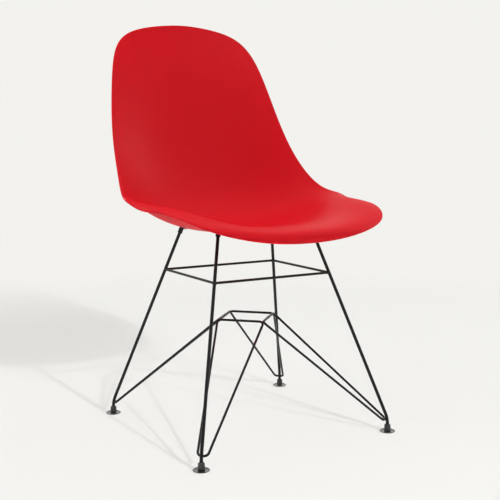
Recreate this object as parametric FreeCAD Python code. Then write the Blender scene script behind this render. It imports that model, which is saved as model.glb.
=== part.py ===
# Moulded plastic shell chair on a welded wire base. All lengths are millimetres.
# +Z is up, the sitter looks along -Y, and the sitter's left is +X. The model is laid out about
# the middle of the base, and moved at the end so that the origin is on the floor, under the
# middle of the chair's outside box.
import FreeCAD
import Part
import math
import os

V = FreeCAD.Vector

# Seat shell. Ten stations run from the front lip over the seat and up the back to the top edge.
# Each list eases between its ten values. The centre line is the shell's upper face at mid width.
CENTRE_Y = [-224, -220, -165, -85, 11, 117, 186, 222, 243, 270]
CENTRE_Z = [397, 420, 423, 414, 396, 404, 489, 603, 728, 827]
# Half the width of the flattened outline, before its corners are rounded off.
HALF_WIDTH = [307, 303, 280, 255, 250, 234, 227, 240, 268, 370]
# How far the side stands back of and above the centre line, at SIDE_REACH from it.
SIDE_BACK = [-1, 18, 37, 36, 5, -29, -43, -35, -18, 39]
SIDE_RISE = [14, 24, 38, 45, 51, 46, 30, 9, 20, 58]
SIDE_REACH = 200
SIDE_POWER = 2.8
# How far the rim rolls over, and the share of the outline's radius where the roll begins.
RIM_ROLL = [5, 8, 25, 43, 23, 5, 3, 9, 8, 2]
ROLL_START = 0.74
SHELL_THICKNESS = 5
# Control points of the shell's faces, across and along. They shape how finely the faces follow
# the law above.
NET_ACROSS = 28
NET_ALONG = 56

# Wire base. Half spacings are measured from the middle of the base to the legs' centre lines.
FOOT_HALF_X = 211
FOOT_HALF_Y = 198
LEG_TOP_HALF_X = 119
LEG_TOP_HALF_Y = 89.5
LEG_TOP_Z = 360
LEG_DIAMETER = 6.5
LEG_BEND_Z = 27
LEG_BEND_RADIUS = 60
STRETCHER_Z = 316.5
STRETCHER_DIAMETER = 5
LOOP_DIAMETER = 4.8
LOOP_TOP_Z = 223
LOOP_TOP_REACH = 66
LOOP_TOP_BEND = 8
LOOP_FOOT_WIDTH = 19
LOOP_FOOT_BEND = 8.5
# The painted seam that is left between two wires where they are welded side by side.
WELD_SEAM = 0.1

# Mounting under the seat, one set on each leg.
MOUNT_INWARD = 16
MOUNT_BEYOND = 15
SOCKET_DIAMETER = 9.5
SOCKET_LENGTH = 12.5
SOCKET_CAP = 1.5
SOCKET_GAP = 5
BORE_CLEARANCE = 0.1
PLATE_THICKNESS = 2.5
PLATE_END_RADIUS = 10
PAD_DIAMETER = 24
PAD_HEIGHT = 5.5
PAD_BOND = 0.2
SCREW_DIAMETER = 6
SCREW_HOLE_CLEARANCE = 0.3
SCREW_HEAD_DIAMETER = 10.5
SCREW_HEAD_HEIGHT = 2.2
SCREW_GRIP = 2.8
HEX_ACROSS_FLATS = 4
HEX_DEPTH = 1.3
INSERT_DIAMETER = 9
INSERT_HEIGHT = 3
INSERT_FIT = 0.05
WASHER_DIAMETER = 12
WASHER_THICKNESS = 1

# Swivel glide, one on each foot: a socket on the leg's end, and a disc that tilts under it.
DISC_DIAMETER = 31
DISC_CONTACT_DIAMETER = 20
DISC_RIM_Z = 2.2
DISC_RIM_ROUND = 1
DISH_DIAMETER = 16
DISH_Z = 2.4
SWIVEL_GAP = 1.1
BALL_DIAMETER = 5.2
BALL_CLEARANCE = 0.3
BALL_GRIP = 1.8
BALL_NECK = 3.2
GLIDE_WEB = 0.85
GLIDE_BORE_DEPTH = 7.2
GLIDE_DIAMETER = 13.2
GLIDE_TOP_DIAMETER = 12.4
GLIDE_CHAMFER = 1.7

# Quadrants of the base: name, side in X, side in Y. The sitter's left is +X and the front is -Y.
QUADRANTS = [
    ("front_right", -1, -1),
    ("front_left", 1, -1),
    ("back_right", -1, 1),
    ("back_left", 1, 1),
]

LEG_RADIUS = LEG_DIAMETER / 2
LOOP_RADIUS = LOOP_DIAMETER / 2
SCREW_RADIUS = SCREW_DIAMETER / 2
SOCKET_LOW_Z = DISH_Z + SWIVEL_GAP
BALL_Z = SOCKET_LOW_Z + BALL_GRIP
LEG_END_Z = BALL_Z + BALL_DIAMETER / 2 + BALL_CLEARANCE + GLIDE_WEB


def weight(distance):
    """Share of a station's value at a distance from it, counted in stations."""
    far = abs(distance)
    if far < 1:
        return 2 / 3 - far ** 2 + far ** 3 / 2
    if far < 2:
        return (2 - far) ** 3 / 6
    return 0


def eased(values, along):
    """Value of a shell law, with along running from -1 at the lip to 1 at the top edge."""
    last = len(values) - 1
    place = (along + 1) / 2 * last
    before = 2 * values[0] - values[1]
    after = 2 * values[last] - values[last - 1]
    total = before * weight(place + 1) + after * weight(place - last - 1)
    for index, value in enumerate(values):
        total += value * weight(place - index)
    return total


def centre_normal(along):
    """Unit direction square to the centre line, up from the seat and forward from the back."""
    step = 0.001
    rise = eased(CENTRE_Z, along + step) - eased(CENTRE_Z, along - step)
    run = eased(CENTRE_Y, along + step) - eased(CENTRE_Y, along - step)
    length = math.hypot(rise, run)
    return V(0, -rise / length, run / length)


def shell_point(across, along):
    """Point of the shell's upper face at a place in the round outline of radius 1."""
    side = across * eased(HALF_WIDTH, along)
    lift = (abs(side) / SIDE_REACH) ** SIDE_POWER
    past = max(math.hypot(across, along) - ROLL_START, 0) / (1 - ROLL_START)
    roll = eased(RIM_ROLL, along) * past ** 3
    back = eased(CENTRE_Y, along) + eased(SIDE_BACK, along) * lift
    up = eased(CENTRE_Z, along) + eased(SIDE_RISE, along) * lift
    return V(side, back, up) - centre_normal(along) * roll


def shell_normal(across, along):
    """Unit direction square to the shell's upper face, on the sitter's side."""
    step = 0.0005
    sideways = shell_point(across + step, along) - shell_point(across - step, along)
    onwards = shell_point(across, along + step) - shell_point(across, along - step)
    return sideways.cross(onwards).normalize()


def rim_outward(across, along):
    """Unit direction that leads out of the rim, level with the face there."""
    step = 0.0005
    inside = shell_point(across * (1 - step), along * (1 - step))
    outward = shell_point(across, along) - inside
    turned_1 = shell_point(across - along * step, along + across * step)
    turned_2 = shell_point(across + along * step, along - across * step)
    rim_way = (turned_1 - turned_2).normalize()
    return (outward - rim_way * outward.dot(rim_way)).normalize()


def outline_place(u, v):
    """Place in the round outline for a place in the square net of control points."""
    return u * math.sqrt(1 - v * v / 2), v * math.sqrt(1 - u * u / 2)


def net_steps(count):
    """Even places from -1 to 1, for a count rounded to a whole number of steps."""
    steps = max(round(count), 6)
    return [2 * index / steps - 1 for index in range(steps + 1)]


def smooth_face(net):
    """Cubic face shaped by a net of control points, ending on the net's outer rows."""
    surface = Part.BSplineSurface()
    knots = []
    counts = []
    for size in (len(net), len(net[0])):
        spans = size - 3
        knots.append([float(index) for index in range(spans + 1)])
        counts.append([4] + [1] * (spans - 1) + [4])
    surface.buildFromPolesMultsKnots(net, counts[0], counts[1], knots[0], knots[1], False, False, 3, 3)
    return surface.toShape()


def rim_side(upper, lower, places):
    """Half-round rim face along one side of the net, between the upper and lower edges."""
    bulge = SHELL_THICKNESS * 2 / 3
    net = []
    for top, bottom, place in zip(upper, lower, places):
        out = rim_outward(place[0], place[1]) * bulge
        net.append([top, top + out, bottom + out, bottom])
    return smooth_face(net)


def seat_shell():
    """The one-piece seat and back, with a half-round rim."""
    across_steps = net_steps(NET_ACROSS)
    along_steps = net_steps(NET_ALONG)
    places = [[outline_place(u, v) for v in along_steps] for u in across_steps]
    upper = []
    lower = []
    for row in places:
        tops = [shell_point(place[0], place[1]) for place in row]
        upper.append(tops)
        lower.append([top - shell_normal(place[0], place[1]) * SHELL_THICKNESS
                      for top, place in zip(tops, row)])
    faces = [smooth_face(upper), smooth_face(lower)]
    for edge in (0, -1):
        faces.append(rim_side(upper[edge], lower[edge], places[edge]))
        faces.append(rim_side([row[edge] for row in upper], [row[edge] for row in lower],
                              [row[edge] for row in places]))
    skin = Part.makeShell(faces)
    skin.sewShape()
    solid = Part.makeSolid(skin)
    if solid.Volume < 0:
        solid.reverse()
    return solid


def underside_height(shell, x, y):
    """Height of the shell's lower face above a point of the floor."""
    probe = Part.makeLine(V(x, y, 0), V(x, y, max(CENTRE_Z)))
    return probe.common(shell).BoundBox.ZMin


def rod_path(corners, radii, closed):
    """Wire of straight runs through the corners, with an arc of the given radius at each bend."""
    count = len(corners)
    bends = {}
    for index in range(count):
        if closed or 0 < index < count - 1:
            corner = corners[index]
            back = (corners[index - 1] - corner).normalize()
            ahead = (corners[(index + 1) % count] - corner).normalize()
            half = back.getAngle(ahead) / 2
            reach = radii[index] / math.tan(half)
            middle = (back + ahead).normalize() * (radii[index] / math.sin(half) - radii[index])
            bends[index] = (corner + back * reach, corner + middle, corner + ahead * reach)
    edges = []
    for index in range(count if closed else count - 1):
        after = (index + 1) % count
        start = bends[index][2] if index in bends else corners[index]
        end = bends[after][0] if after in bends else corners[after]
        edges.append(Part.LineSegment(start, end).toShape())
        if after in bends:
            edges.append(Part.Arc(bends[after][0], bends[after][1], bends[after][2]).toShape())
    return Part.Wire(edges)


def rod(path, diameter):
    """Round rod along a path, joined up from its straight runs and its bends."""
    runs = []
    for edge in path.Edges:
        start = edge.valueAt(edge.FirstParameter)
        ring = Part.makeCircle(diameter / 2, start, edge.tangentAt(edge.FirstParameter))
        runs.append(Part.Wire([edge]).makePipeShell([Part.Wire(ring)], True, False))
    return runs[0].multiFuse(runs[1:]).Solids[0]


def leg_point(side_x, side_y, height):
    """Point of a leg's centre line at a height above its bend."""
    share = (height - LEG_BEND_Z) / (LEG_TOP_Z - LEG_BEND_Z)
    half_x = FOOT_HALF_X + (LEG_TOP_HALF_X - FOOT_HALF_X) * share
    half_y = FOOT_HALF_Y + (LEG_TOP_HALF_Y - FOOT_HALF_Y) * share
    return V(side_x * half_x, side_y * half_y, height)


def leg_direction(side_x, side_y):
    """Unit direction up a leg's straight run."""
    return (leg_point(side_x, side_y, LEG_TOP_Z) - leg_point(side_x, side_y, LEG_BEND_Z)).normalize()


def leg_wire(side_x, side_y, socket_top):
    """Leg from its end in the glide, through its bend, up into its socket under the seat."""
    foot = leg_point(side_x, side_y, LEG_BEND_Z)
    end = V(foot.x, foot.y, LEG_END_Z)
    top = socket_top - leg_direction(side_x, side_y) * SOCKET_CAP
    return rod(rod_path([end, foot, top], [0, LEG_BEND_RADIUS, 0], False), LEG_DIAMETER)


def stretcher(quadrant_1, quadrant_2, legs, crossing):
    """Straight wire between two legs, with its ends shaped to fit round them and the wires there."""
    ends = [leg_point(quadrant[1], quadrant[2], STRETCHER_Z) for quadrant in (quadrant_1, quadrant_2)]
    wire = Part.makeCylinder(STRETCHER_DIAMETER / 2, (ends[1] - ends[0]).Length, ends[0],
                             ends[1] - ends[0])
    for other in [legs[quadrant_1[0]], legs[quadrant_2[0]]] + crossing:
        wire = wire.cut(other)
    return max(wire.Solids, key=lambda piece: piece.Volume)


def bend_reach(corner, before, after, radius, way):
    """How far the bend at a corner reaches along a direction, from the corner itself."""
    back = (before - corner).normalize()
    ahead = (after - corner).normalize()
    half = back.getAngle(ahead) / 2
    centre = (back + ahead).normalize() * (radius / math.sin(half))
    square = back.cross(ahead).normalize()
    flat = way - square * way.dot(square)
    return centre.dot(way) + radius * flat.Length


def loop_corners():
    """Corners of the back left bracing loop: two under the seat and two at its foot."""
    bend = leg_point(1, 1, LEG_BEND_Z)
    up = V(0, 0, 1)
    lean = leg_direction(1, 1)
    half = (math.pi - lean.getAngle(up)) / 2
    bend_middle = bend + (lean - up).normalize() * (LEG_BEND_RADIUS / math.sin(half) - LEG_BEND_RADIUS)
    foot_way = V(-1, 1, 0).normalize()
    inward = (lean + up).cross(foot_way).normalize()
    foot = bend_middle + inward * (LEG_RADIUS + LOOP_RADIUS + WELD_SEAM)
    foot_back = foot + foot_way * (LOOP_FOOT_WIDTH / 2)
    foot_side = foot - foot_way * (LOOP_FOOT_WIDTH / 2)
    stand_off = LOOP_RADIUS + WELD_SEAM / 2
    offset_x = stand_off
    offset_y = stand_off
    for _ in range(8):
        top_back = V(offset_x, LOOP_TOP_REACH, LOOP_TOP_Z)
        top_side = V(LOOP_TOP_REACH, offset_y, LOOP_TOP_Z)
        offset_x = stand_off + bend_reach(top_back, foot_back, top_side, LOOP_TOP_BEND, V(-1, 0, 0))
        offset_y = stand_off + bend_reach(top_side, foot_side, top_back, LOOP_TOP_BEND, V(0, -1, 0))
    return [top_back, top_side, foot_side, foot_back]


def bracing_loop(side_x, side_y):
    """One closed bent wire from a foot up to the middle of the base."""
    corners = [V(side_x * corner.x, side_y * corner.y, corner.z) for corner in loop_corners()]
    bends = [LOOP_TOP_BEND, LOOP_TOP_BEND, LOOP_FOOT_BEND, LOOP_FOOT_BEND]
    return rod(rod_path(corners, bends, True), LOOP_DIAMETER)


def turned(outline, centre):
    """Solid of revolution about a vertical axis, from (radius, height) points and arcs."""
    edges = []
    for start, end, middle in outline:
        ends = [V(point[0], 0, point[1]) for point in (start, end)]
        if middle is None:
            edges.append(Part.LineSegment(ends[0], ends[1]).toShape())
        else:
            edges.append(Part.Arc(ends[0], V(middle[0], 0, middle[1]), ends[1]).toShape())
    solid = Part.Face(Part.Wire(edges)).revolve(V(0, 0, 0), V(0, 0, 1), 360)
    solid.translate(V(centre.x, centre.y, 0))
    return solid


def glide_disc(foot):
    """Saucer-like disc with a flat underside, and a ball stud standing in its dish."""
    radius = DISC_DIAMETER / 2
    contact = DISC_CONTACT_DIAMETER / 2
    dish = DISH_DIAMETER / 2
    neck = BALL_NECK / 2
    ball = BALL_DIAMETER / 2
    ball_low = BALL_Z - math.sqrt(ball ** 2 - neck ** 2)
    bulge = math.sin(math.pi / 4)
    run = radius - contact
    belly_radius = (run ** 2 + DISC_RIM_Z ** 2) / (2 * DISC_RIM_Z)
    sweep = math.asin(run / belly_radius) / 2
    belly = (contact + belly_radius * math.sin(sweep), belly_radius * (1 - math.cos(sweep)))
    rim_side = radius - DISC_RIM_ROUND
    rim_middle = (rim_side + DISC_RIM_ROUND * bulge, DISC_RIM_Z + DISC_RIM_ROUND * bulge)
    rim_top = (rim_side, DISC_RIM_Z + DISC_RIM_ROUND)
    outline = [
        ((0, 0), (contact, 0), None),
        ((contact, 0), (radius, DISC_RIM_Z), belly),
        ((radius, DISC_RIM_Z), rim_top, rim_middle),
        (rim_top, (dish, DISH_Z), None),
        ((dish, DISH_Z), (neck, DISH_Z), None),
        ((neck, DISH_Z), (neck, ball_low), None),
        ((neck, ball_low), (0, BALL_Z + ball), (ball, BALL_Z)),
        ((0, BALL_Z + ball), (0, 0), None),
    ]
    return turned(outline, foot)


def glide_socket(foot):
    """Upright socket that holds the leg's end above and snaps over the disc's ball below."""
    low = SOCKET_LOW_Z
    top = LEG_END_Z + GLIDE_BORE_DEPTH
    radius = GLIDE_DIAMETER / 2
    top_radius = GLIDE_TOP_DIAMETER / 2
    cup = BALL_DIAMETER / 2 + BALL_CLEARANCE
    mouth = math.sqrt(cup ** 2 - BALL_GRIP ** 2)
    bore = LEG_RADIUS + BORE_CLEARANCE
    outline = [
        ((mouth, low), (radius, low), None),
        ((radius, low), (top_radius, top - GLIDE_CHAMFER), None),
        ((top_radius, top - GLIDE_CHAMFER), (top_radius - GLIDE_CHAMFER, top), None),
        ((top_radius - GLIDE_CHAMFER, top), (bore, top), None),
        ((bore, top), (bore, LEG_END_Z), None),
        ((bore, LEG_END_Z), (0, LEG_END_Z), None),
        ((0, LEG_END_Z), (0, BALL_Z + cup), None),
        ((0, BALL_Z + cup), (mouth, low), (cup, BALL_Z)),
    ]
    return turned(outline, foot)


def bracket(screw, plate_top, socket_top, side_x, side_y):
    """Steel plate under the seat with a socket for the leg at its outer end."""
    direction = leg_direction(side_x, side_y)
    plate_low = plate_top - PLATE_THICKNESS
    along_leg = (plate_low - socket_top.z) / direction.z
    root = socket_top + direction * along_leg
    start = V(root.x, root.y, plate_low)
    end = V(screw.x, screw.y, plate_low)
    way = (end - start).normalize()
    across = V(-way.y, way.x, 0)
    root_half = SOCKET_DIAMETER / 2 - BORE_CLEARANCE
    corners = [start + across * root_half, start - across * root_half]
    far_1 = end - across * PLATE_END_RADIUS
    far_2 = end + across * PLATE_END_RADIUS
    edges = [
        Part.LineSegment(corners[0], corners[1]).toShape(),
        Part.LineSegment(corners[1], far_1).toShape(),
        Part.Arc(far_1, end + way * PLATE_END_RADIUS, far_2).toShape(),
        Part.LineSegment(far_2, corners[0]).toShape(),
    ]
    plate = Part.Face(Part.Wire(edges)).extrude(V(0, 0, PLATE_THICKNESS))
    socket = Part.makeCylinder(SOCKET_DIAMETER / 2, SOCKET_LENGTH, socket_top, direction * -1)
    bore_top = socket_top - direction * SOCKET_CAP
    bore = Part.makeCylinder(LEG_RADIUS + BORE_CLEARANCE, SOCKET_LENGTH, bore_top, direction * -1)
    hole = Part.makeCylinder(SCREW_RADIUS + SCREW_HOLE_CLEARANCE, PLATE_THICKNESS, end)
    return plate.fuse(socket).cut(bore).cut(hole).removeSplitter()


def shock_pad(screw, plate_top, shell):
    """Rubber pad between the bracket and the shell, shaped to the shell's lower face."""
    base = V(screw.x, screw.y, plate_top)
    blank = Part.makeCylinder(PAD_DIAMETER / 2, PAD_HEIGHT + PAD_DIAMETER, base)
    pocket = Part.makeCylinder(INSERT_DIAMETER / 2, INSERT_HEIGHT, base)
    lowered = shell.copy()
    lowered.translate(V(0, 0, -PAD_BOND))
    pieces = blank.cut(lowered).Solids
    pad = min(pieces, key=lambda piece: piece.CenterOfMass.z)
    return pad.cut(pocket)


def threaded_insert(screw, plate_top):
    """Steel bush with the screw's thread, held in the pad."""
    base = V(screw.x, screw.y, plate_top)
    bush = Part.makeCylinder(INSERT_DIAMETER / 2, INSERT_HEIGHT, base)
    thread = Part.makeCylinder(SCREW_RADIUS + INSERT_FIT, INSERT_HEIGHT, base)
    return bush.cut(thread)


def washer(screw, plate_top):
    """Flat washer under the bracket."""
    base = V(screw.x, screw.y, plate_top - PLATE_THICKNESS - WASHER_THICKNESS)
    ring = Part.makeCylinder(WASHER_DIAMETER / 2, WASHER_THICKNESS, base)
    hole = Part.makeCylinder(SCREW_RADIUS + SCREW_HOLE_CLEARANCE, WASHER_THICKNESS, base)
    return ring.cut(hole)


def mounting_screw(screw, plate_top):
    """Button-head screw from below, with a hexagon socket in its head."""
    seat = plate_top - PLATE_THICKNESS - WASHER_THICKNESS
    head_low = seat - SCREW_HEAD_HEIGHT
    radius = SCREW_HEAD_DIAMETER / 2
    crown = SCREW_HEAD_HEIGHT / 2
    outline = [
        ((0, head_low), (radius - crown, head_low), None),
        ((radius - crown, head_low), (radius, head_low + crown),
         (radius - crown * (1 - math.sin(math.pi / 4)), head_low + crown * (1 - math.sin(math.pi / 4)))),
        ((radius, head_low + crown), (radius, seat), None),
        ((radius, seat), (SCREW_RADIUS, seat), None),
        ((SCREW_RADIUS, seat), (SCREW_RADIUS, plate_top + SCREW_GRIP), None),
        ((SCREW_RADIUS, plate_top + SCREW_GRIP), (0, plate_top + SCREW_GRIP), None),
        ((0, plate_top + SCREW_GRIP), (0, head_low), None),
    ]
    body = turned(outline, screw)
    corner = HEX_ACROSS_FLATS / math.sqrt(3)
    points = [V(screw.x + corner * math.cos(math.pi / 3 * turn),
                screw.y + corner * math.sin(math.pi / 3 * turn), head_low) for turn in range(7)]
    key = Part.Face(Part.makePolygon(points)).extrude(V(0, 0, HEX_DEPTH))
    return body.cut(key)


def build():
    """All pieces about the middle of the base, by node name."""
    nodes = {}
    shell = seat_shell()
    nodes["seat_shell"] = shell
    legs = {}
    hardware = {"threaded_inserts": [], "mounting_washers": [], "mounting_screws": []}
    for name, side_x, side_y in QUADRANTS:
        near_top = leg_point(side_x, side_y, min(CENTRE_Z))
        socket_z = underside_height(shell, near_top.x, near_top.y) - SOCKET_GAP
        socket_top = leg_point(side_x, side_y, socket_z)
        screw = V(socket_top.x - side_x * MOUNT_INWARD, socket_top.y + side_y * MOUNT_BEYOND, 0)
        plate_top = underside_height(shell, screw.x, screw.y) - PAD_HEIGHT
        foot = leg_point(side_x, side_y, LEG_BEND_Z)
        legs[name] = leg_wire(side_x, side_y, socket_top)
        nodes["leg_" + name] = legs[name]
        nodes["bracing_loop_" + name] = bracing_loop(side_x, side_y)
        nodes["mount_bracket_" + name] = bracket(screw, plate_top, socket_top, side_x, side_y)
        nodes["shock_pad_" + name] = shock_pad(screw, plate_top, shell)
        nodes["glide_socket_" + name] = glide_socket(foot)
        nodes["glide_disc_" + name] = glide_disc(foot)
        hardware["threaded_inserts"].append(threaded_insert(screw, plate_top))
        hardware["mounting_washers"].append(washer(screw, plate_top))
        hardware["mounting_screws"].append(mounting_screw(screw, plate_top))
    front_right, front_left, back_right, back_left = QUADRANTS
    front_wire = stretcher(front_right, front_left, legs, [])
    back_wire = stretcher(back_right, back_left, legs, [])
    crossing = [front_wire, back_wire]
    nodes["stretcher_front"] = front_wire
    nodes["stretcher_back"] = back_wire
    nodes["stretcher_right"] = stretcher(front_right, back_right, legs, crossing)
    nodes["stretcher_left"] = stretcher(front_left, back_left, legs, crossing)
    for name, pieces in hardware.items():
        nodes[name] = Part.makeCompound(pieces)
    return nodes


def main():
    """Build the chair, centre it over the origin and write one file for each node."""
    os.makedirs("parts", exist_ok=True)
    nodes = build()
    box = Part.makeCompound(list(nodes.values())).optimalBoundingBox(False, False)
    middle = V(-box.Center.x, -box.Center.y, 0)
    for name, shape in nodes.items():
        shape.translate(middle)
        shape.exportStep("parts/" + name + ".step")
        print(name, len(shape.Solids), round(shape.Volume), shape.isValid())
    print("moved by", round(middle.x, 3), round(middle.y, 3))
    print("size", round(box.XLength, 2), round(box.YLength, 2), round(box.ZLength, 2))
    print("floor to top", round(box.ZMin, 3), round(box.ZMax, 2))


main()
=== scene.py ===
"""Looks of a moulded shell chair on a welded wire base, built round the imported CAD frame.

Every length in the classes is in millimetres unless its name ends in _m. The Blender pieces are in
metres, in the frame of the CAD model: +Z up, the sitter looks along -Y, the sitter's left is +X.
"""

import logging
import math
from dataclasses import dataclass, field
from enum import Enum
from typing import Sequence

import bpy
from mathutils import Matrix, Vector


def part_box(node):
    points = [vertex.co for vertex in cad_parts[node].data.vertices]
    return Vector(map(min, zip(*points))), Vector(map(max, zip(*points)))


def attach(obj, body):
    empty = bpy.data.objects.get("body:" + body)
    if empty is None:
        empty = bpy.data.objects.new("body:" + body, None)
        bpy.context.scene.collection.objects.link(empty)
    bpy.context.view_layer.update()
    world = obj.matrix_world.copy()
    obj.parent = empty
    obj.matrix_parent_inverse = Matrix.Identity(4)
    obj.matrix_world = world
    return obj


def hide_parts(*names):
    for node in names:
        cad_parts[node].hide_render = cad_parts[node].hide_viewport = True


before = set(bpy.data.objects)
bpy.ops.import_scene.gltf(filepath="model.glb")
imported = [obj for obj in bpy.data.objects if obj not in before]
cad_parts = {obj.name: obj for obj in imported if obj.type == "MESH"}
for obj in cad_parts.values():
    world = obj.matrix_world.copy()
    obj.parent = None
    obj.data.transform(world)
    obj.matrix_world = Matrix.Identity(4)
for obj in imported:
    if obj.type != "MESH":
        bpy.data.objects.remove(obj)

LOG = logging.getLogger("shell_chair")
MM = 0.001
CHAIR = "chair"

# Places of a Mix node's two values among its inputs and of its result, by the kind it mixes.
MIX_SOCKETS = {"FLOAT": (2, 3, 0), "RGBA": (6, 7, 2)}

Socket = bpy.types.NodeSocket
Value = float | Sequence[float] | Socket


class Corner(Enum):
    """The four corners of the base, with their sides in X and Y."""

    FRONT_RIGHT = ("front_right", -1, -1)
    FRONT_LEFT = ("front_left", 1, -1)
    BACK_RIGHT = ("back_right", -1, 1)
    BACK_LEFT = ("back_left", 1, 1)

    @property
    def label(self) -> str:
        """Gives the name that ends the corner's node names.

        Returns:
            The name.
        """
        return self.value[0]

    @property
    def side_x(self) -> int:
        """Tells the corner's side in X.

        Returns:
            -1 on the sitter's right and 1 on the left.
        """
        return self.value[1]

    @property
    def side_y(self) -> int:
        """Tells the corner's side in Y.

        Returns:
            -1 at the front and 1 at the back.
        """
        return self.value[2]


class Desk:
    """Adds nodes to one node tree and joins them up."""

    def __init__(self, tree: bpy.types.NodeTree) -> None:
        """Keeps the tree.

        Args:
            tree: The tree that the nodes go into.
        """
        self.tree = tree

    def node(self, kind: str, **settings: object) -> bpy.types.Node:
        """Adds one node.

        Args:
            kind: The node's type name.
            **settings: Properties to set on it.

        Returns:
            The new node.
        """
        made = self.tree.nodes.new(kind)
        for name, value in settings.items():
            setattr(made, name, value)
        return made

    def feed(self, target: Socket, value: Value) -> None:
        """Links a socket to an input, or sets a number on it.

        Args:
            target: The input socket.
            value: A socket, a number or a vector.
        """
        if isinstance(value, bpy.types.NodeSocket):
            self.tree.links.new(value, target)
        else:
            target.default_value = value

    def math(self, operation: str, *values: Value) -> Socket:
        """Works one sum on numbers.

        Args:
            operation: The sum, as the Math node names it.
            *values: Its one, two or three numbers.

        Returns:
            The result.
        """
        made = self.node("ShaderNodeMath", operation=operation)
        for target, value in zip(made.inputs, values):
            self.feed(target, value)
        return made.outputs[0]

    def vector(self, operation: str, *values: Value) -> Socket:
        """Works one sum on vectors.

        Args:
            operation: The sum, as the Vector Math node names it.
            *values: Its vectors; SCALE takes a vector and a number.

        Returns:
            The result, a number for LENGTH and DOT_PRODUCT.
        """
        made = self.node("ShaderNodeVectorMath", operation=operation)
        targets = [made.inputs[0], made.inputs["Scale"]] if operation == "SCALE" else made.inputs
        for target, value in zip(targets, values):
            self.feed(target, value)
        return made.outputs["Value" if operation in ("LENGTH", "DOT_PRODUCT") else "Vector"]

    def join(self, x: Value, y: Value, z: Value) -> Socket:
        """Makes a vector of three numbers.

        Args:
            x: First number.
            y: Second number.
            z: Third number.

        Returns:
            The vector.
        """
        made = self.node("ShaderNodeCombineXYZ")
        for target, value in zip(made.inputs, (x, y, z)):
            self.feed(target, value)
        return made.outputs[0]

    def blend(self, kind: str, share: Value, first: Value, second: Value) -> Socket:
        """Mixes two numbers or colours.

        Args:
            kind: FLOAT or RGBA.
            share: 0 for the first and 1 for the second.
            first: The first number or colour.
            second: The second one.

        Returns:
            The mix.
        """
        made = self.node("ShaderNodeMix", data_type=kind)
        first_place, second_place, result = MIX_SOCKETS[kind]
        self.feed(made.inputs[0], share)
        self.feed(made.inputs[first_place], first)
        self.feed(made.inputs[second_place], second)
        return made.outputs[result]

    def split(self, value: Socket) -> tuple[Socket, Socket, Socket]:
        """Takes a vector apart.

        Args:
            value: The vector.

        Returns:
            Its three numbers.
        """
        made = self.node("ShaderNodeSeparateXYZ")
        self.feed(made.inputs[0], value)
        return made.outputs[0], made.outputs[1], made.outputs[2]

    def use(self, group: bpy.types.NodeTree, **values: Value) -> bpy.types.Node:
        """Adds a node group and feeds its named inputs.

        Args:
            group: The group.
            **values: Inputs by name, with spaces written as underscores.

        Returns:
            The group's node.
        """
        made = self.node("GeometryNodeGroup", node_tree=group)
        for name, value in values.items():
            self.feed(made.inputs[name.replace("_", " ")], value)
        return made


def new_group(name: str, inputs: dict[str, float], outputs: dict[str, str],
              takes_shape: bool = False) -> tuple[
        bpy.types.NodeTree, bpy.types.Node, bpy.types.Node, Desk]:
    """Starts a geometry node group with number inputs.

    Args:
        name: The group's name.
        inputs: Default of each number input, by name.
        outputs: Socket type of each output, by name.
        takes_shape: Whether a geometry input comes before the numbers.

    Returns:
        The group, its input node, its output node and a desk to work at.
    """
    group = bpy.data.node_groups.new(name, "GeometryNodeTree")
    if takes_shape:
        group.interface.new_socket("Geometry", in_out="INPUT", socket_type="NodeSocketGeometry")
    for label, default in inputs.items():
        made = group.interface.new_socket(label, in_out="INPUT", socket_type="NodeSocketFloat")
        made.default_value = default
    for label, kind in outputs.items():
        group.interface.new_socket(label, in_out="OUTPUT", socket_type=kind)
    desk = Desk(group)
    return group, desk.node("NodeGroupInput"), desk.node("NodeGroupOutput"), desk


def end_tree(desk: Desk, result: bpy.types.Node, shape: Socket,
             material: bpy.types.Material) -> None:
    """Ends a piece's tree: smooth, real geometry with its material on it.

    Args:
        desk: Desk of the tree.
        result: The tree's output node.
        shape: The geometry so far.
        material: The material to set.
    """
    smooth = desk.node("GeometryNodeSetShadeSmooth")
    desk.feed(smooth.inputs["Geometry"], shape)
    real = desk.node("GeometryNodeRealizeInstances")
    desk.feed(real.inputs[0], smooth.outputs[0])
    dressed = desk.node("GeometryNodeSetMaterial")
    desk.feed(dressed.inputs["Geometry"], real.outputs[0])
    dressed.inputs["Material"].default_value = material
    desk.feed(result.inputs["Geometry"], dressed.outputs[0])


def place_object(name: str, data: bpy.types.ID) -> bpy.types.Object:
    """Puts an object into the scene, at the origin.

    Args:
        name: The object's name.
        data: Its mesh, curve, light or camera.

    Returns:
        The object.
    """
    made = bpy.data.objects.new(name, data)
    bpy.context.scene.collection.objects.link(made)
    return made


def geometry_piece(name: str, start: bpy.types.ID, tree: bpy.types.NodeTree,
                   sizes: dict[str, float]) -> bpy.types.Object:
    """Runs a geometry node tree once and keeps its result as a plain mesh piece.

    Args:
        name: Name of the piece.
        start: Mesh or curve that the tree starts from.
        tree: The tree, with a geometry input and output.
        sizes: Values for its named inputs.

    Returns:
        The finished piece, at the origin, with no modifier.
    """
    source = place_object(name + "_start", start)
    modifier = source.modifiers.new(tree.name, "NODES")
    modifier.node_group = tree
    sockets = {item.name: item.identifier for item in tree.interface.items_tree
               if item.item_type == "SOCKET" and item.in_out == "INPUT"}
    for label, value in sizes.items():
        modifier[sockets[label]] = value
    evaluated = source.evaluated_get(bpy.context.evaluated_depsgraph_get())
    mesh = bpy.data.meshes.new_from_object(evaluated)
    mesh.name = name
    piece = place_object(name, mesh)
    bpy.data.objects.remove(source)
    return piece


def report(piece: bpy.types.Object, note: str) -> None:
    """Logs a finished piece.

    Args:
        piece: The piece.
        note: What it is, in a few words.
    """
    LOG.info("%s: %s, %d faces", piece.name, note, len(piece.data.polygons))


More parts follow.
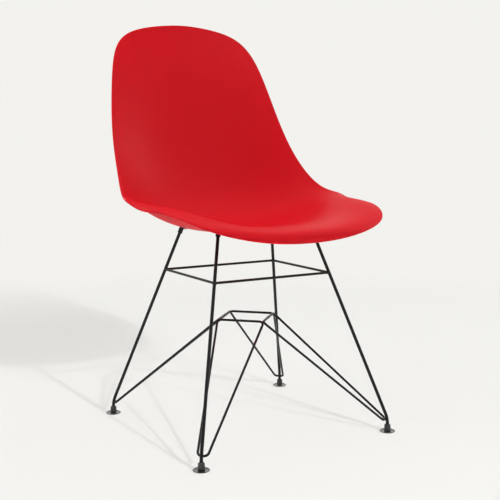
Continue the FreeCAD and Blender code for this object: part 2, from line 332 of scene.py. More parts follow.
@dataclass(frozen=True)
class Finish:
    """A surface with fine grain, slow colour drift and uneven gloss."""

    name: str
    colour: tuple[float, float, float]
    roughness: float
    metallic: float = 0.0
    specular: float = 0.5
    coat: float = 0.0
    coat_roughness: float = 0.1
    drift: float = 0.04
    drift_size_m: float = 0.08
    drift_detail: float = 3.0
    gloss_drift: float = 0.05
    gloss_share: float = 0.4
    gloss_detail: float = 4.0
    grain_size_m: float = 0.0008
    grain_height_m: float = 0.00002
    grain_detail: float = 2.0
    ripple_size_m: float = 0.012
    ripple_height_m: float = 0.0
    ripple_detail: float = 1.0

    def material(self) -> bpy.types.Material:
        """Builds the material, or gives the one built before.

        Returns:
            The material.
        """
        known = bpy.data.materials.get(self.name)
        if known is not None:
            return known
        made = bpy.data.materials.new(self.name)
        made.use_nodes = True
        desk = Desk(made.node_tree)
        shader = made.node_tree.nodes["Principled BSDF"]
        shader.inputs["Metallic"].default_value = self.metallic
        shader.inputs["Specular IOR Level"].default_value = self.specular
        shader.inputs["Coat Weight"].default_value = self.coat
        shader.inputs["Coat Roughness"].default_value = self.coat_roughness
        place = desk.node("ShaderNodeTexCoord").outputs["Object"]
        slow = self.noise(desk, place, self.drift_size_m, self.drift_detail)
        low = [channel * (1 - self.drift) for channel in self.colour]
        high = [min(channel * (1 + self.drift), 1.0) for channel in self.colour]
        desk.feed(shader.inputs["Base Color"],
                  desk.blend("RGBA", slow, (*low, 1.0), (*high, 1.0)))
        patchy = self.noise(desk, place, self.drift_size_m * self.gloss_share, self.gloss_detail)
        gloss = desk.math("MULTIPLY_ADD", patchy, 2 * self.gloss_drift,
                          self.roughness - self.gloss_drift)
        desk.feed(shader.inputs["Roughness"], gloss)
        bump = desk.node("ShaderNodeBump")
        bump.inputs["Distance"].default_value = self.grain_height_m
        grain = self.noise(desk, place, self.grain_size_m, self.grain_detail)
        desk.feed(bump.inputs["Height"], grain)
        normal = bump.outputs["Normal"]
        if self.ripple_height_m:
            wave = desk.node("ShaderNodeBump")
            wave.inputs["Distance"].default_value = self.ripple_height_m
            ripple = self.noise(desk, place, self.ripple_size_m, self.ripple_detail)
            desk.feed(wave.inputs["Height"], ripple)
            desk.feed(wave.inputs["Normal"], normal)
            normal = wave.outputs["Normal"]
        desk.feed(shader.inputs["Normal"], normal)
        return made

    @staticmethod
    def noise(desk: Desk, place: Socket, size_m: float, detail: float) -> Socket:
        """Adds even noise from 0 to 1.

        Args:
            desk: Desk of the material's tree.
            place: Coordinates to read.
            size_m: Size of its features, in metres.
            detail: Octaves of finer noise.

        Returns:
            The noise.
        """
        made = desk.node("ShaderNodeTexNoise")
        desk.feed(made.inputs["Vector"], place)
        made.inputs["Scale"].default_value = 1 / size_m
        made.inputs["Detail"].default_value = detail
        return made.outputs[0]


MOULDED_RED = Finish("moulded_red_plastic", (0.62, 0.004, 0.011), 0.5, specular=0.09, drift=0.02,
                     drift_size_m=0.15, gloss_drift=0.03, grain_size_m=0.0009,
                     grain_height_m=0.00003, ripple_size_m=0.03, ripple_height_m=0.00002)
BLACK_COAT = Finish("black_powder_coat", (0.006, 0.006, 0.007), 0.36, specular=0.28, drift=0.15,
                    drift_size_m=0.03, grain_size_m=0.0006, grain_height_m=0.00003)
WELD_COAT = Finish("coated_weld", (0.02, 0.018, 0.017), 0.45, specular=0.5, drift=0.3,
                   drift_size_m=0.004, grain_size_m=0.0004, grain_height_m=0.00006)
SOCKET_NYLON = Finish("dark_socket_nylon", (0.03, 0.03, 0.032), 0.38, drift=0.1, drift_size_m=0.01,
                      grain_size_m=0.0004)
DISC_NYLON = Finish("glossy_disc_nylon", (0.02, 0.02, 0.021), 0.16, coat=0.5, coat_roughness=0.06,
                    drift=0.1, drift_size_m=0.01, grain_size_m=0.0005, grain_height_m=0.000005)
PAD_RUBBER = Finish("black_pad_rubber", (0.02, 0.02, 0.02), 0.75, drift=0.2, drift_size_m=0.008,
                    grain_size_m=0.0004, grain_height_m=0.00006)
ZINC_STEEL = Finish("zinc_plated_steel", (0.55, 0.56, 0.58), 0.32, metallic=1.0, drift=0.08,
                    drift_size_m=0.004, grain_size_m=0.0003)


@dataclass
class SeatShell:
    """The one-piece seat and back, ruled by ten stations from the front lip to the top edge."""

    centre_y: tuple[float, ...] = (-224, -220, -165, -85, 11, 117, 186, 222, 243, 270)
    centre_z: tuple[float, ...] = (397, 420, 423, 414, 396, 404, 489, 603, 728, 827)
    half_width: tuple[float, ...] = (307, 303, 280, 255, 250, 234, 227, 240, 268, 370)
    side_back: tuple[float, ...] = (-1, 18, 37, 36, 5, -29, -43, -35, -18, 39)
    side_rise: tuple[float, ...] = (14, 24, 38, 45, 51, 46, 30, 9, 20, 58)
    rim_roll: tuple[float, ...] = (5, 8, 25, 43, 23, 5, 3, 9, 8, 2)
    side_reach: float = 200
    side_power: float = 2.8
    roll_start: float = 0.74
    roll_power: float = 3.0
    thickness: float = 5
    turns: int = 288
    rings: int = 56
    rim_steps: int = 8
    slope_step: float = 0.002
    merge_m: float = 1e-5

    def inputs(self) -> dict[str, float]:
        """Gives the values of the skin tree's named inputs.

        Returns:
            The values, by the inputs' names.
        """
        return {"Thickness": self.thickness, "Side reach": self.side_reach,
                "Side power": self.side_power, "Roll start": self.roll_start,
                "Turns": float(self.turns), "Rings": float(self.rings),
                "Rim steps": float(self.rim_steps)}

    def share_group(self) -> bpy.types.NodeTree:
        """Builds the group for a station's share at a distance from it, by the cubic B-spline.

        Returns:
            The group, with outputs Share and Slope.
        """
        group, given, result, desk = new_group(
            "Station share", {"Distance": 0.0},
            {"Share": "NodeSocketFloat", "Slope": "NodeSocketFloat"})
        distance = given.outputs["Distance"]
        far = desk.math("ABSOLUTE", distance)
        wide = desk.math("MAXIMUM", desk.math("SUBTRACT", 2.0, far), 0.0)
        near = desk.math("MAXIMUM", desk.math("SUBTRACT", 1.0, far), 0.0)
        wide_cube = desk.math("POWER", wide, 3.0)
        near_cube = desk.math("POWER", near, 3.0)
        share = desk.math("DIVIDE", desk.math("MULTIPLY_ADD", near_cube, -4.0, wide_cube), 6.0)
        wide_square = desk.math("MULTIPLY", wide, wide)
        near_square = desk.math("MULTIPLY", near, near)
        wide_slope = desk.math("MULTIPLY", wide_square, -0.5)
        steep = desk.math("MULTIPLY_ADD", near_square, 2.0, wide_slope)
        slope = desk.math("MULTIPLY", steep, desk.math("SIGN", distance))
        desk.feed(result.inputs["Share"], share)
        desk.feed(result.inputs["Slope"], slope)
        return group

    def station_group(self) -> bpy.types.NodeTree:
        """Builds the group that eases the six laws between the stations.

        Returns:
            The group, with vector outputs Centre, Sides and Course.
        """
        group, given, result, desk = new_group(
            "Station laws", {"Along": 0.0},
            {label: "NodeSocketVector" for label in ("Centre", "Sides", "Course")})
        share = self.share_group()
        centre = list(zip(self.centre_y, self.centre_z, self.half_width))
        sides = list(zip(self.side_back, self.side_rise, self.rim_roll))
        last = len(centre) - 1
        place = desk.math("MULTIPLY_ADD", given.outputs["Along"], last / 2, last / 2)
        totals: list[Socket | None] = [None, None, None]
        for index in range(-1, last + 2):
            one = desk.use(share, Distance=desk.math("SUBTRACT", place, float(index)))
            terms = (
                (self.reflected(centre, index), one.outputs["Share"]),
                (self.reflected(sides, index), one.outputs["Share"]),
                (self.reflected(centre, index), one.outputs["Slope"]),
            )
            for order, (station, amount) in enumerate(terms):
                scaled = desk.vector("SCALE", station, amount)
                before = totals[order]
                totals[order] = scaled if before is None else desk.vector("ADD", before, scaled)
        for label, total in zip(("Centre", "Sides", "Course"), totals):
            desk.feed(result.inputs[label], total)
        return group

    @staticmethod
    def reflected(stations: Sequence[Sequence[float]], index: int) -> tuple[float, ...]:
        """Gives a station, or one beyond an end as that end reflects it.

        Args:
            stations: The stations' values.
            index: From -1 to one past the last.

        Returns:
            The values.
        """
        last = len(stations) - 1
        if 0 <= index <= last:
            return tuple(float(value) for value in stations[index])
        end = stations[0] if index < 0 else stations[last]
        inside = stations[1] if index < 0 else stations[last - 1]
        return tuple(2.0 * a - b for a, b in zip(end, inside))

    def face_group(self) -> bpy.types.NodeTree:
        """Builds the group that places a point of the shell's upper face.

        Returns:
            The group, with the vector output Point in millimetres.
        """
        sizes = {"Across": 0.0, "Along": 0.0, "Side reach": self.side_reach,
                 "Side power": self.side_power, "Roll start": self.roll_start}
        group, given, result, desk = new_group("Shell face", sizes, {"Point": "NodeSocketVector"})
        across = given.outputs["Across"]
        along = given.outputs["Along"]
        laws = desk.use(self.station_group(), Along=along)
        centre_y, centre_z, half_width = desk.split(laws.outputs["Centre"])
        side_back, side_rise, rim_roll = desk.split(laws.outputs["Sides"])
        run, rise, _ = desk.split(laws.outputs["Course"])
        side = desk.math("MULTIPLY", across, half_width)
        lean = desk.math("DIVIDE", desk.math("ABSOLUTE", side), given.outputs["Side reach"])
        lift = desk.math("POWER", lean, given.outputs["Side power"])
        radius = desk.vector("LENGTH", desk.join(across, along, 0.0))
        roll_start = given.outputs["Roll start"]
        past = desk.math("MAXIMUM", desk.math("SUBTRACT", radius, roll_start), 0.0)
        share = desk.math("DIVIDE", past, desk.math("SUBTRACT", 1.0, roll_start))
        roll = desk.math("MULTIPLY", rim_roll, desk.math("POWER", share, self.roll_power))
        square = desk.vector("NORMALIZE", desk.join(0.0, desk.math("MULTIPLY", rise, -1.0), run))
        back = desk.math("MULTIPLY_ADD", side_back, lift, centre_y)
        up = desk.math("MULTIPLY_ADD", side_rise, lift, centre_z)
        rolled = desk.vector("SCALE", square, roll)
        point = desk.vector("SUBTRACT", desk.join(side, back, up), rolled)
        desk.feed(result.inputs["Point"], point)
        return group

    def skin_tree(self, material: bpy.types.Material) -> bpy.types.NodeTree:
        """Builds the tree that wraps a grid round the shell, over its rim and back underneath.

        Args:
            material: The finished surface.

        Returns:
            The tree.
        """
        tree, given, result, desk = new_group("Shell skin", self.inputs(),
                                              {"Geometry": "NodeSocketGeometry"}, True)
        rings = given.outputs["Rings"]
        rim_steps = given.outputs["Rim steps"]
        rows = desk.math("MULTIPLY_ADD", rings, 2.0, rim_steps)
        grid = desk.node("GeometryNodeMeshGrid")
        desk.feed(grid.inputs["Vertices X"], desk.math("ADD", given.outputs["Turns"], 1.0))
        desk.feed(grid.inputs["Vertices Y"], desk.math("ADD", rows, 1.0))
        grid.inputs["Size X"].default_value = 1.0
        grid.inputs["Size Y"].default_value = 1.0
        turn, place, _ = desk.split(desk.node("GeometryNodeInputPosition").outputs[0])
        angle = desk.math("MULTIPLY", desk.math("ADD", turn, 0.5), -2 * math.pi)
        row = desk.math("MULTIPLY", desk.math("ADD", place, 0.5), rows)
        outward = desk.math("DIVIDE", row, rings)
        inward = desk.math("DIVIDE", desk.math("SUBTRACT", rows, row), rings)
        reach = desk.math("MINIMUM", desk.math("MINIMUM", outward, inward), 1.0)
        radius = desk.math("SINE", desk.math("MULTIPLY", reach, math.pi / 2))
        over = desk.math("DIVIDE", desk.math("SUBTRACT", row, rings), rim_steps)
        over = desk.math("MAXIMUM", desk.math("MINIMUM", over, 1.0), 0.0)
        round_rim = desk.math("MULTIPLY", over, math.pi)
        across = desk.math("MULTIPLY", radius, desk.math("COSINE", angle))
        along = desk.math("MULTIPLY", radius, desk.math("SINE", angle))
        point = self.skin_point(desk, given, across, along, round_rim)
        point = desk.vector("SCALE", point, MM)
        placed = desk.node("GeometryNodeSetPosition")
        desk.feed(placed.inputs["Geometry"], grid.outputs["Mesh"])
        desk.feed(placed.inputs["Position"], point)
        merged = desk.node("GeometryNodeMergeByDistance")
        desk.feed(merged.inputs["Geometry"], placed.outputs[0])
        merged.inputs["Distance"].default_value = self.merge_m
        end_tree(desk, result, merged.outputs[0], material)
        return tree

    def skin_point(self, desk: Desk, given: bpy.types.Node, across: Socket, along: Socket,
                   round_rim: Socket) -> Socket:
        """Places a point of the skin from its place in the outline and its turn round the rim.

        Args:
            desk: Desk of the tree.
            given: The tree's inputs.
            across: Place across the outline, from -1 to 1.
            along: Place along the outline, from -1 to 1.
            round_rim: 0 on the upper face and pi on the lower one.

        Returns:
            The point, in millimetres.
        """
        face = self.face_group()
        step = self.slope_step

        def at(more_across: float, more_along: float) -> Socket:
            """Places the upper face's point a small step away.

            Args:
                more_across: The step across the outline.
                more_along: The step along the outline.

            Returns:
                The point.
            """
            node = desk.use(
                face, Across=desk.math("ADD", across, more_across),
                Along=desk.math("ADD", along, more_along), Side_reach=given.outputs["Side reach"],
                Side_power=given.outputs["Side power"], Roll_start=given.outputs["Roll start"])
            return node.outputs["Point"]

        sideways = desk.vector("SUBTRACT", at(step, 0.0), at(-step, 0.0))
        onwards = desk.vector("SUBTRACT", at(0.0, step), at(0.0, -step))
        normal = desk.vector("NORMALIZE", desk.vector("CROSS_PRODUCT", sideways, onwards))
        out = desk.vector("ADD", desk.vector("SCALE", sideways, across),
                          desk.vector("SCALE", onwards, along))
        rim_way = desk.vector("NORMALIZE", desk.vector(
            "SUBTRACT", desk.vector("SCALE", onwards, across),
            desk.vector("SCALE", sideways, along)))
        slip = desk.vector("SCALE", rim_way, desk.vector("DOT_PRODUCT", out, rim_way))
        out = desk.vector("NORMALIZE", desk.vector("SUBTRACT", out, slip))
        half = desk.math("MULTIPLY", given.outputs["Thickness"], 0.5)
        depth = desk.math("SUBTRACT", desk.math("COSINE", round_rim), 1.0)
        sunk = desk.vector("SCALE", normal, desk.math("MULTIPLY", half, depth))
        bulge = desk.math("MULTIPLY", half, desk.math("SINE", round_rim))
        offset = desk.vector("ADD", sunk, desk.vector("SCALE", out, bulge))
        return desk.vector("ADD", at(0.0, 0.0), offset)

    def build(self) -> bpy.types.Object:
        """Builds the shell and puts it in the place of its CAD node.

        Returns:
            The shell piece.
        """
        low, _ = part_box("seat_shell")
        piece = geometry_piece("seat_shell_moulding", bpy.data.meshes.new("shell_start"),
                               self.skin_tree(MOULDED_RED.material()), self.inputs())
        front = min(vertex.co.y for vertex in piece.data.vertices)
        piece.data.transform(Matrix.Translation(Vector((0, low.y - front, 0))))
        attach(piece, CHAIR)
        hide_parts("seat_shell")
        report(piece, "moulded seat and back")
        return piece


@dataclass
class WireBase:
    """Legs, stretchers and bracing loops, with the beads that weld them together."""

    foot_half: tuple[float, float] = (211, 198)
    top_half: tuple[float, float] = (119, 89.5)
    bend_z: float = 27
    top_z: float = 360
    bend_radius: float = 60
    leg_diameter: float = 6.5
    stretcher_z: float = 316.5
    stretcher_diameter: float = 5
    loop_diameter: float = 4.8
    seam: float = 0.1
    bead: float = 0.85
    stretcher_bead_share: float = 1.0
    foot_bead_share: float = 1.5
    loop_bead_share: float = 1.7
    foot_seam_radius: float = 1.9
    touch_seam_radius: float = 2.0
    crown_seam_inset: float = 0.9
    touch_band: float = 0.02
    ring_points: int = 24
    bead_sides: int = 12
    spacing: float = 0.35
    ripple: float = 0.12
    ripple_pitch: float = 1.3
    unevenness: float = 0.25
    blotch_seed: float = 7.0
    blotch_scale: float = 500.0
    middle_y: float = field(init=False)

    def __post_init__(self) -> None:
        """Finds the base's middle in Y from the discs that the CAD put there."""
        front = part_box("glide_disc_front_right")
        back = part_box("glide_disc_back_right")
        self.middle_y = (front[0].y + front[1].y + back[0].y + back[1].y) / 4 / MM

    def leg_point(self, corner: Corner, height: float) -> Vector:
        """Gives a point of a leg's middle line, above its bend.

        Args:
            corner: The leg's corner.
            height: Height above the floor.

        Returns:
            The point.
        """
        share = (height - self.bend_z) / (self.top_z - self.bend_z)
        half_x, half_y = (a + (b - a) * share for a, b in zip(self.foot_half, self.top_half))
        return Vector((corner.side_x * half_x, corner.side_y * half_y + self.middle_y, height))

    def inputs(self) -> dict[str, float]:
        """Gives the values of the seam tree's named inputs, with lengths in metres.

        Returns:
            The values, by the inputs' names.
        """
        return {"Bead radius": self.bead * MM, "Spacing": self.spacing * MM,
                "Ripple": self.ripple, "Pitch": self.ripple_pitch * MM,
                "Unevenness": self.unevenness}

    def ring(self, centre: Vector, first: Vector, second: Vector, radius: float) -> list[Vector]:
        """Makes a ring of points in the plane of two directions.

        Args:
            centre: Middle of the ring.
            first: Unit direction.
            second: Unit direction square to it.
            radius: The ring's radius.

        Returns:
            The points.
        """
        turns = [2 * math.pi * step / self.ring_points for step in range(self.ring_points)]
        return [centre + first * math.cos(turn) * radius + second * math.sin(turn) * radius
                for turn in turns]

    def stretcher_seams(self) -> list[list[Vector]]:
        """Lays a seam round each end of each stretcher, on the leg's surface.

        Returns:
            The eight seams.
        """
        seams = []
        for corner in Corner:
            middle = self.leg_point(corner, self.stretcher_z)
            up = (self.leg_point(corner, self.top_z) - middle).normalized()
            for way in (Vector((-corner.side_x, 0, 0)), Vector((0, -corner.side_y, 0))):
                across = up.cross(way).normalized()
                out = across.cross(up).normalized()
                seam = []
                for point in self.ring(Vector(), up, across, self.stretcher_diameter / 2):
                    off = point.dot(across)
                    depth = math.sqrt((self.leg_diameter / 2) ** 2 - off ** 2)
                    seam.append(middle + point + out * depth)
                seams.append(seam)
        return seams

    def foot_seams(self) -> list[list[Vector]]:
        """Lays a seam round each place where a loop's foot meets its leg's bend.

        Returns:
            The four seams.
        """
        seams = []
        for corner in Corner:
            bend = self.leg_point(corner, self.bend_z)
            up = Vector((0, 0, 1))
            lean = (self.leg_point(corner, self.top_z) - bend).normalized()
            half = (math.pi - lean.angle(up)) / 2
            inside = self.bend_radius / math.sin(half) - self.bend_radius
            middle = bend + (lean - up).normalized() * inside
            foot_way = Vector((-corner.side_x, corner.side_y, 0)).normalized()
            along = (lean + up).normalized()
            inward = along.cross(foot_way).normalized()
            if inward.dot(Vector((corner.side_x, corner.side_y, 0))) > 0:
                inward = -inward
            touch = middle + inward * (self.leg_diameter + self.seam) / 2
            seams.append(self.ring(touch, along, foot_way, self.foot_seam_radius))
        return seams

    def loop_seams(self) -> list[list[Vector]]:
        """Lays a seam where each two loops touch, and one where each loop's wire closes.

        Returns:
            The eight seams.
        """
        seams = []
        up = Vector((0, 0, 1))
        for corner in Corner:
            points = [vertex.co / MM for vertex in
                      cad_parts["bracing_loop_" + corner.label].data.vertices]
            inner_x = min(abs(point.x) for point in points)
            inner_y = min(abs(point.y - self.middle_y) for point in points)
            touch_x = self.mean([point for point in points
                                 if abs(point.x) < inner_x + self.touch_band])
            touch_y = self.mean([point for point in points
                                 if abs(point.y - self.middle_y) < inner_y + self.touch_band])
            if corner.side_x < 0:
                place = Vector((0, touch_x.y, touch_x.z))
                seams.append(self.ring(place, Vector((0, 1, 0)), up, self.touch_seam_radius))
            if corner.side_y < 0:
                place = Vector((touch_y.x, self.middle_y, touch_y.z))
                seams.append(self.ring(place, Vector((1, 0, 0)), up, self.touch_seam_radius))
            run = Vector((touch_y.x - touch_x.x, touch_y.y - touch_x.y, 0)).normalized()
            top = max(point.z for point in points)
            crown = self.mean([point for point in points if point.z > top - self.touch_band])
            centre = Vector((crown.x, crown.y, top - self.loop_diameter / 2))
            radius = self.loop_diameter / 2 - self.crown_seam_inset
            seams.append(self.ring(centre, run.cross(up), up, radius))
        return seams

    @staticmethod
    def mean(points: Sequence[Vector]) -> Vector:
        """Gives the middle of some points.

        Args:
            points: The points.

        Returns:
            Their mean.
        """
        return sum(points, Vector()) / len(points)

    def seam_tree(self, material: bpy.types.Material) -> bpy.types.NodeTree:
        """Builds the tree that runs a rippled bead along each seam.

        Args:
            material: The finished surface.

        Returns:
            The tree.
        """
        tree, given, result, desk = new_group("Weld seam", self.inputs(),
                                              {"Geometry": "NodeSocketGeometry"}, True)
        even = desk.node("GeometryNodeResampleCurve", mode="LENGTH")
        desk.feed(even.inputs["Curve"], given.outputs["Geometry"])
        desk.feed(even.inputs["Length"], given.outputs["Spacing"])
        length = desk.node("GeometryNodeSplineParameter").outputs["Length"]
        waves = desk.math("DIVIDE", length, given.outputs["Pitch"])
        phase = desk.math("MULTIPLY", waves, 2 * math.pi)
        wave = desk.math("MULTIPLY", desk.math("SINE", phase), given.outputs["Ripple"])
        blotch = desk.node("ShaderNodeTexNoise", noise_dimensions="4D")
        desk.feed(blotch.inputs["Vector"], desk.node("GeometryNodeInputPosition").outputs[0])
        blotch.inputs["W"].default_value = self.blotch_seed
        blotch.inputs["Scale"].default_value = self.blotch_scale
        uneven = desk.math("MULTIPLY", desk.math("SUBTRACT", blotch.outputs[0], 0.5),
                           given.outputs["Unevenness"])
        thick = desk.math("MULTIPLY", desk.math("ADD", desk.math("ADD", wave, uneven), 1.0),
                          desk.node("GeometryNodeInputRadius").outputs[0])
        profile = desk.node("GeometryNodeCurvePrimitiveCircle")
        profile.inputs["Resolution"].default_value = self.bead_sides
        desk.feed(profile.inputs["Radius"], given.outputs["Bead radius"])
        swept = desk.node("GeometryNodeCurveToMesh")
        desk.feed(swept.inputs["Curve"], even.outputs[0])
        desk.feed(swept.inputs["Profile Curve"], profile.outputs["Curve"])
        desk.feed(swept.inputs["Scale"], thick)
        end_tree(desk, result, swept.outputs[0], material)
        return tree

    def welds(self) -> bpy.types.Object:
        """Builds every weld bead of the base as one piece.

        Returns:
            The beads.
        """
        start = bpy.data.curves.new("weld_start", "CURVE")
        start.dimensions = "3D"
        for seams, share in ((self.stretcher_seams(), self.stretcher_bead_share),
                             (self.foot_seams(), self.foot_bead_share),
                             (self.loop_seams(), self.loop_bead_share)):
            for seam in seams:
                spline = start.splines.new("POLY")
                spline.points.add(len(seam) - 1)
                for point, place in zip(spline.points, seam):
                    point.co = (*(place * MM), 1.0)
                    point.radius = share
                spline.use_cyclic_u = True
        piece = geometry_piece("weld_beads", start, self.seam_tree(WELD_COAT.material()),
                               self.inputs())
        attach(piece, CHAIR)
        report(piece, "weld beads")
        return piece

    def build(self) -> None:
        """Dresses the wires and lays the beads."""
        for corner in Corner:
            dress_node("leg_" + corner.label, BLACK_COAT)
            dress_node("bracing_loop_" + corner.label, BLACK_COAT)
        for side in ("front", "back", "right", "left"):
            dress_node("stretcher_" + side, BLACK_COAT)
        self.welds()


@dataclass
class SeatMounts:
    """Brackets, pads and their fastenings under the seat."""

    plate: Finish = BLACK_COAT
    pad: Finish = PAD_RUBBER
    fastening: Finish = ZINC_STEEL

    def build(self) -> None:
        """Dresses the mounts."""
        for corner in Corner:
            dress_node("mount_bracket_" + corner.label, self.plate)
            dress_node("shock_pad_" + corner.label, self.pad)
        for name in ("threaded_inserts", "mounting_washers", "mounting_screws"):
            dress_node(name, self.fastening)


@dataclass
class Glides:
    """Sockets on the legs' ends and the discs that tilt under them."""

    socket: Finish = SOCKET_NYLON
    disc: Finish = DISC_NYLON

    def build(self) -> None:
        """Dresses the glides."""
        for corner in Corner:
            dress_node("glide_socket_" + corner.label, self.socket)
            dress_node("glide_disc_" + corner.label, self.disc)


def dress_node(name: str, finish: Finish) -> None:
    """Gives a carried CAD node its finish.

    Args:
        name: The node.
        finish: The finish.
    """
    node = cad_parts[name]
    node.data.materials.clear()
    node.data.materials.append(finish.material())
    LOG.info("%s: CAD solid in %s", name, finish.name)


@dataclass
class Studio:
    """Pale floor that sweeps up behind the chair, soft lamps and the camera."""

    lens_mm: float = 66.2
    sensor_mm: float = 36.0
    azimuth_deg: float = -31.19
    elevation_deg: float = 7.20
    roll_deg: float = 0.07
    target_m: tuple[float, float, float] = (0.0, -0.04294, 0.3606)
    distance_m: float = 1.844
    pale: tuple[float, float, float] = (0.893, 0.885, 0.852)
    sky_low: float = 0.20
    sky_high: float = 0.98
    front_dim: float = 0.75
    key_m: tuple[float, float, float] = (0.36, -3.63, 1.92)
    key_power: float = 16.0
    key_size_m: float = 1.0
    right_m: tuple[float, float, float] = (-2.8, 0.1, 3.1)
    right_power: float = 66.0
    left_m: tuple[float, float, float] = (3.4, -0.9, 1.9)
    left_power: float = 40.0
    side_size_m: float = 2.0
    shadow_power: float = 36.0
    shadow_sizes_m: tuple[float, ...] = (0.08, 0.6)
    shadow_share: float = 0.11
    shadow_paper: float = 0.785
    shadow_reach_m: tuple[float, float] = (1.0, 2.2)
    lamp_aim_m: tuple[float, float, float] = (0.0, 0.0, 0.4)
    floor_albedo: float = 0.41
    floor_paint: float = 0.88
    floor_half_m: float = 12.0
    floor_front_m: float = -8.0
    floor_back_m: float = 4.5
    sweep_radius_m: float = 2.5
    sweep_steps: int = 16
    wall_top_m: float = 9.0

    def build(self) -> None:
        """Builds the floor, the lamps and the camera."""
        self.lamps(self.floor())
        self.sky()
        self.camera()
        bpy.context.scene.view_settings.view_transform = "Standard"

    def away(self) -> Vector:
        """Gives the level direction from the camera past the chair.

        Returns:
            The unit direction.
        """
        turn = math.radians(-self.azimuth_deg)
        return Vector((math.sin(turn), math.cos(turn), 0))

    def floor(self) -> bpy.types.Object:
        """Lays the floor and its sweep.

        Returns:
            The floor.
        """
        bend = self.sweep_radius_m
        back = self.floor_back_m
        profile = [(self.floor_front_m, 0.0), (back, 0.0)]
        for step in range(1, self.sweep_steps + 1):
            turn = math.pi / 2 * step / self.sweep_steps
            profile.append((back + bend * math.sin(turn), bend * (1 - math.cos(turn))))
        profile.append((back + bend, self.wall_top_m))
        away = self.away()
        side = Vector((away.y, -away.x, 0)) * self.floor_half_m
        points = []
        for out, up in profile:
            middle = away * out + Vector((0, 0, up))
            points += [middle - side, middle + side]
        faces = [(2 * i, 2 * i + 1, 2 * i + 3, 2 * i + 2) for i in range(len(profile) - 1)]
        mesh = bpy.data.meshes.new("studio_floor")
        mesh.from_pydata(points, [], faces)
        for polygon in mesh.polygons:
            polygon.use_smooth = True
        piece = place_object("studio_floor", mesh)
        mesh.materials.append(self.floor_material())
        return piece

    def floor_material(self) -> bpy.types.Material:
        """Makes the floor's surface: plain paint, seen as pale paper that keeps the shadow.

        Returns:
            The material.
        """
        made = bpy.data.materials.new("pale_floor")
        made.use_nodes = True
        desk = Desk(made.node_tree)
        made.node_tree.nodes.remove(made.node_tree.nodes["Principled BSDF"])
        place = desk.node("ShaderNodeTexCoord").outputs["Object"]
        far = desk.vector("LENGTH", desk.vector("MULTIPLY", place, (1.0, 1.0, 0.0)))
        share = self.eased(desk, far, self.shadow_share, 0.0)
        paint = desk.node("ShaderNodeBsdfDiffuse")
        paint.inputs["Color"].default_value = (*[self.floor_paint] * 3, 1)
        paper = desk.node("ShaderNodeEmission")
        paper.inputs["Color"].default_value = (*self.pale, 1)
        desk.feed(paper.inputs["Strength"], self.eased(desk, far, self.shadow_paper, 1.0))
        plain = desk.node("ShaderNodeBsdfDiffuse")
        plain.inputs["Color"].default_value = (*[self.floor_albedo] * 3, 1)
        seen = self.mixed(desk, share, paper.outputs[0], paint.outputs[0])
        whole = self.mixed(desk, self.seen_ray(desk), plain.outputs[0], seen)
        desk.feed(made.node_tree.nodes["Material Output"].inputs["Surface"], whole)
        return made

    @staticmethod
    def mixed(desk: Desk, share: Socket, first: Socket, second: Socket) -> Socket:
        """Mixes two shaders.

        Args:
            desk: Desk of the tree.
            share: 0 for the first and 1 for the second.
            first: The first shader.
            second: The second shader.

        Returns:
            The mix.
        """
        made = desk.node("ShaderNodeMixShader")
        for target, value in zip(made.inputs, (share, first, second)):
            desk.feed(target, value)
        return made.outputs[0]

    def eased(self, desk: Desk, far: Socket, near_value: float, far_value: float) -> Socket:
        """Eases from the value near the chair to the value far from it.

        Args:
            desk: Desk of the tree.
            far: Distance from the chair.
            near_value: Value within the shadow's reach.
            far_value: Value beyond it.

        Returns:
            The eased value.
        """
        made = desk.node("ShaderNodeMapRange", interpolation_type="SMOOTHSTEP")
        values = (far, *self.shadow_reach_m, near_value, far_value)
        for target, value in zip(made.inputs, values):
            desk.feed(target, value)
        return made.outputs[0]

    @staticmethod
    def seen_ray(desk: Desk) -> Socket:
        """Tells rays that show the studio, directly or in a gloss or through glass.

        Args:
            desk: Desk of the tree.

        Returns:
            1 for such rays, and 0 for the others.
        """
        rays = desk.node("ShaderNodeLightPath")
        gloss = desk.math("MAXIMUM", rays.outputs["Is Glossy Ray"],
                          rays.outputs["Is Transmission Ray"])
        return desk.math("MAXIMUM", rays.outputs["Is Camera Ray"], gloss)

    def sky(self) -> None:
        """Sets the soft light from all round, stronger from above and from behind the chair."""
        world = bpy.data.worlds.new("studio_light")
        world.use_nodes = True
        desk = Desk(world.node_tree)
        direction = desk.node("ShaderNodeTexCoord").outputs["Generated"]
        _, _, height = desk.split(direction)
        facing = desk.vector("DOT_PRODUCT", direction, self.away())
        dim = desk.math("MULTIPLY_ADD", facing, self.front_dim, 1.0)
        upper = desk.math("MAXIMUM", height, 0.0)
        rising = desk.math("MULTIPLY_ADD", upper, self.sky_high, self.sky_low)
        light = desk.math("MULTIPLY", rising, dim)
        background = world.node_tree.nodes["Background"]
        camera = desk.node("ShaderNodeLightPath").outputs["Is Camera Ray"]
        white = (1.0, 1.0, 1.0, 1.0)
        desk.feed(background.inputs["Color"],
                  desk.blend("RGBA", camera, white, (*self.pale, 1.0)))
        desk.feed(background.inputs["Strength"], desk.blend("FLOAT", camera, light, 1.0))
        bpy.context.scene.world = world

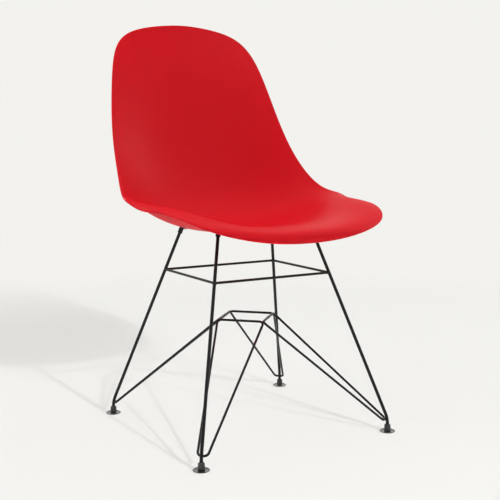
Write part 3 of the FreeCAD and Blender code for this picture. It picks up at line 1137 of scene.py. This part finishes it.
    def lamps(self, floor: bpy.types.Object) -> None:
        """Places the lamps on the object, and the floor's own lamps for its shadow.

        Args:
            floor: The floor.
        """
        self.lamp("key_lamp", self.key_m, self.key_size_m, self.key_power)
        self.lamp("right_lamp", self.right_m, self.side_size_m, self.right_power)
        self.lamp("left_lamp", self.left_m, self.side_size_m, self.left_power)
        shown = bpy.data.collections.new("floor_only")
        shown.objects.link(floor)
        for index, size in enumerate(self.shadow_sizes_m):
            share = self.shadow_power / len(self.shadow_sizes_m)
            piece = self.lamp(f"floor_lamp_{index + 1}", self.key_m, size, share)
            piece.light_linking.receiver_collection = shown
            piece.data.use_nodes = True
            desk = Desk(piece.data.node_tree)
            falloff = desk.node("ShaderNodeLightFalloff")
            falloff.inputs["Strength"].default_value = 1.0
            desk.feed(piece.data.node_tree.nodes["Emission"].inputs["Strength"],
                      falloff.outputs["Constant"])

    def lamp(self, name: str, place: tuple[float, float, float], size: float,
             power: float) -> bpy.types.Object:
        """Places one round lamp, turned towards the chair.

        Args:
            name: Its name.
            place: Its place, in metres.
            size: Its diameter, in metres.
            power: Its power, in watts.

        Returns:
            The lamp.
        """
        light = bpy.data.lights.new(name, "AREA")
        light.shape = "DISK"
        light.size = size
        light.energy = power
        piece = place_object(name, light)
        piece.location = place
        way = Vector(self.lamp_aim_m) - Vector(place)
        piece.rotation_euler = way.to_track_quat("-Z", "Y").to_euler()
        return piece

    def camera(self) -> None:
        """Puts the camera where the photograph was taken from."""
        turn = math.radians(self.azimuth_deg)
        tilt = math.radians(self.elevation_deg)
        roll = math.radians(self.roll_deg)
        level = math.cos(tilt)
        back = Vector((math.sin(turn) * level, -math.cos(turn) * level, math.sin(tilt)))
        right = Vector((math.cos(turn), math.sin(turn), 0))
        up = back.cross(right)
        rolled_right = right * math.cos(roll) + up * math.sin(roll)
        rolled_up = up * math.cos(roll) - right * math.sin(roll)
        lens = bpy.data.cameras.new("camera")
        lens.lens = self.lens_mm
        lens.sensor_width = self.sensor_mm
        piece = place_object("camera", lens)
        matrix = Matrix((rolled_right, rolled_up, back)).transposed().to_4x4()
        matrix.translation = Vector(self.target_m) + back * self.distance_m
        piece.matrix_world = matrix
        bpy.context.scene.camera = piece


def main() -> None:
    """Builds every sub-assembly and the studio."""
    logging.basicConfig(level=logging.INFO, format="%(name)s: %(message)s")
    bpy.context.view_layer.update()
    SeatShell().build()
    WireBase().build()
    SeatMounts().build()
    Glides().build()
    Studio().build()


if __name__ == "__main__":
    main()
